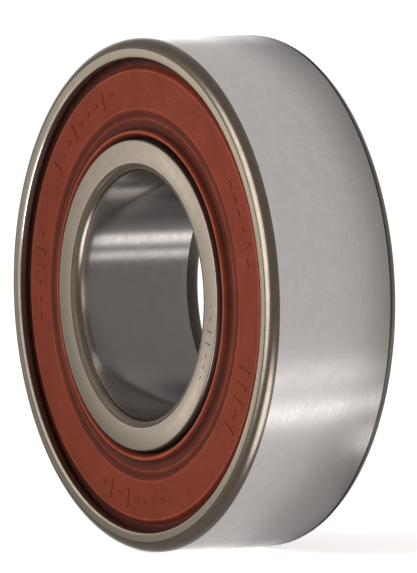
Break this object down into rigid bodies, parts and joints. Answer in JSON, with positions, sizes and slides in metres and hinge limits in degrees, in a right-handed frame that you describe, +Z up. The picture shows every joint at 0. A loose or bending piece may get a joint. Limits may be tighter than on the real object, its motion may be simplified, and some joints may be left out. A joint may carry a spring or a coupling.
{
  "type": "ball bearing",
  "caption": "Sealed deep-groove ball bearing: two steel rings turn on caged balls between rubber contact seals.",
  "frame": {"origin": "centre of the bore at mid width", "axes": "+Y along the bearing's axis from the front side face to the back one, +Z up as it stands on its rim"},
  "size_m": [0.052, 0.015, 0.052],
  "materials": {
    "ring_steel": "ground and honed bearing steel, satin",
    "ball_steel": "lapped, mirror bright",
    "cage_steel": "pressed cold-rolled strip, satin",
    "rivet_steel": "cold-headed soft steel, satin",
    "insert_steel": "pressed and phosphated, matt",
    "seal_rubber": "moulded nitrile rubber, brick red, matt",
    "grease": "smooth buttery grease, glossy"
  },
  "bodies": {
    "outer": {"outer_ring": "ring_steel", "seal_insert_front": "insert_steel", "seal_rubber_front": "seal_rubber", "grease_front": "grease", "seal_insert_back": "insert_steel", "seal_rubber_back": "seal_rubber", "grease_back": "grease"},
    "inner": {"inner_ring": "ring_steel"},
    "cage": {"cage_half_front": "cage_steel", "cage_half_back": "cage_steel", "cage_rivets": "rivet_steel"},
    "ball_1": {"ball_1": "ball_steel"},
    "ball_2": {"ball_2": "ball_steel"},
    "ball_3": {"ball_3": "ball_steel"},
    "ball_4": {"ball_4": "ball_steel"},
    "ball_5": {"ball_5": "ball_steel"},
    "ball_6": {"ball_6": "ball_steel"},
    "ball_7": {"ball_7": "ball_steel"},
    "ball_8": {"ball_8": "ball_steel"},
    "ball_9": {"ball_9": "ball_steel"}
  },
  "joints": [
    {"name": "inner_ring_spin", "type": "hinge", "parent": "outer", "child": "inner", "pos_m": [0, 0, 0], "axis": [0, 1, 0], "continuous": true},
    {"name": "cage_spin", "type": "hinge", "parent": "outer", "child": "cage", "pos_m": [0, 0, 0], "axis": [0, 1, 0], "continuous": true},
    {"name": "ball_1_spin", "type": "hinge", "parent": "cage", "child": "ball_1", "pos_m": [0.01834, 0, -0.00668], "axis": [0, 1, 0], "continuous": true},
    {"name": "ball_2_spin", "type": "hinge", "parent": "cage", "child": "ball_2", "pos_m": [0.00976, 0, -0.0169], "axis": [0, 1, 0], "continuous": true},
    {"name": "ball_3_spin", "type": "hinge", "parent": "cage", "child": "ball_3", "pos_m": [-0.00339, 0, -0.01922], "axis": [0, 1, 0], "continuous": true},
    {"name": "ball_4_spin", "type": "hinge", "parent": "cage", "child": "ball_4", "pos_m": [-0.01495, 0, -0.01255], "axis": [0, 1, 0], "continuous": true},
    {"name": "ball_5_spin", "type": "hinge", "parent": "cage", "child": "ball_5", "pos_m": [-0.01952, 0, 0], "axis": [0, 1, 0], "continuous": true},
    {"name": "ball_6_spin", "type": "hinge", "parent": "cage", "child": "ball_6", "pos_m": [-0.01495, 0, 0.01255], "axis": [0, 1, 0], "continuous": true},
    {"name": "ball_7_spin", "type": "hinge", "parent": "cage", "child": "ball_7", "pos_m": [-0.00339, 0, 0.01922], "axis": [0, 1, 0], "continuous": true},
    {"name": "ball_8_spin", "type": "hinge", "parent": "cage", "child": "ball_8", "pos_m": [0.00976, 0, 0.0169], "axis": [0, 1, 0], "continuous": true},
    {"name": "ball_9_spin", "type": "hinge", "parent": "cage", "child": "ball_9", "pos_m": [0.01834, 0, 0.00668], "axis": [0, 1, 0], "continuous": true}
  ],
  "couplings": [
    {"joint": "cage_spin", "follows": "inner_ring_spin", "ratio": 0.39833},
    {"joint": "ball_1_spin", "follows": "inner_ring_spin", "ratio": -2.3574},
    {"joint": "ball_2_spin", "follows": "inner_ring_spin", "ratio": -2.3574},
    {"joint": "ball_3_spin", "follows": "inner_ring_spin", "ratio": -2.3574},
    {"joint": "ball_4_spin", "follows": "inner_ring_spin", "ratio": -2.3574},
    {"joint": "ball_5_spin", "follows": "inner_ring_spin", "ratio": -2.3574},
    {"joint": "ball_6_spin", "follows": "inner_ring_spin", "ratio": -2.3574},
    {"joint": "ball_7_spin", "follows": "inner_ring_spin", "ratio": -2.3574},
    {"joint": "ball_8_spin", "follows": "inner_ring_spin", "ratio": -2.3574},
    {"joint": "ball_9_spin", "follows": "inner_ring_spin", "ratio": -2.3574}
  ]
}
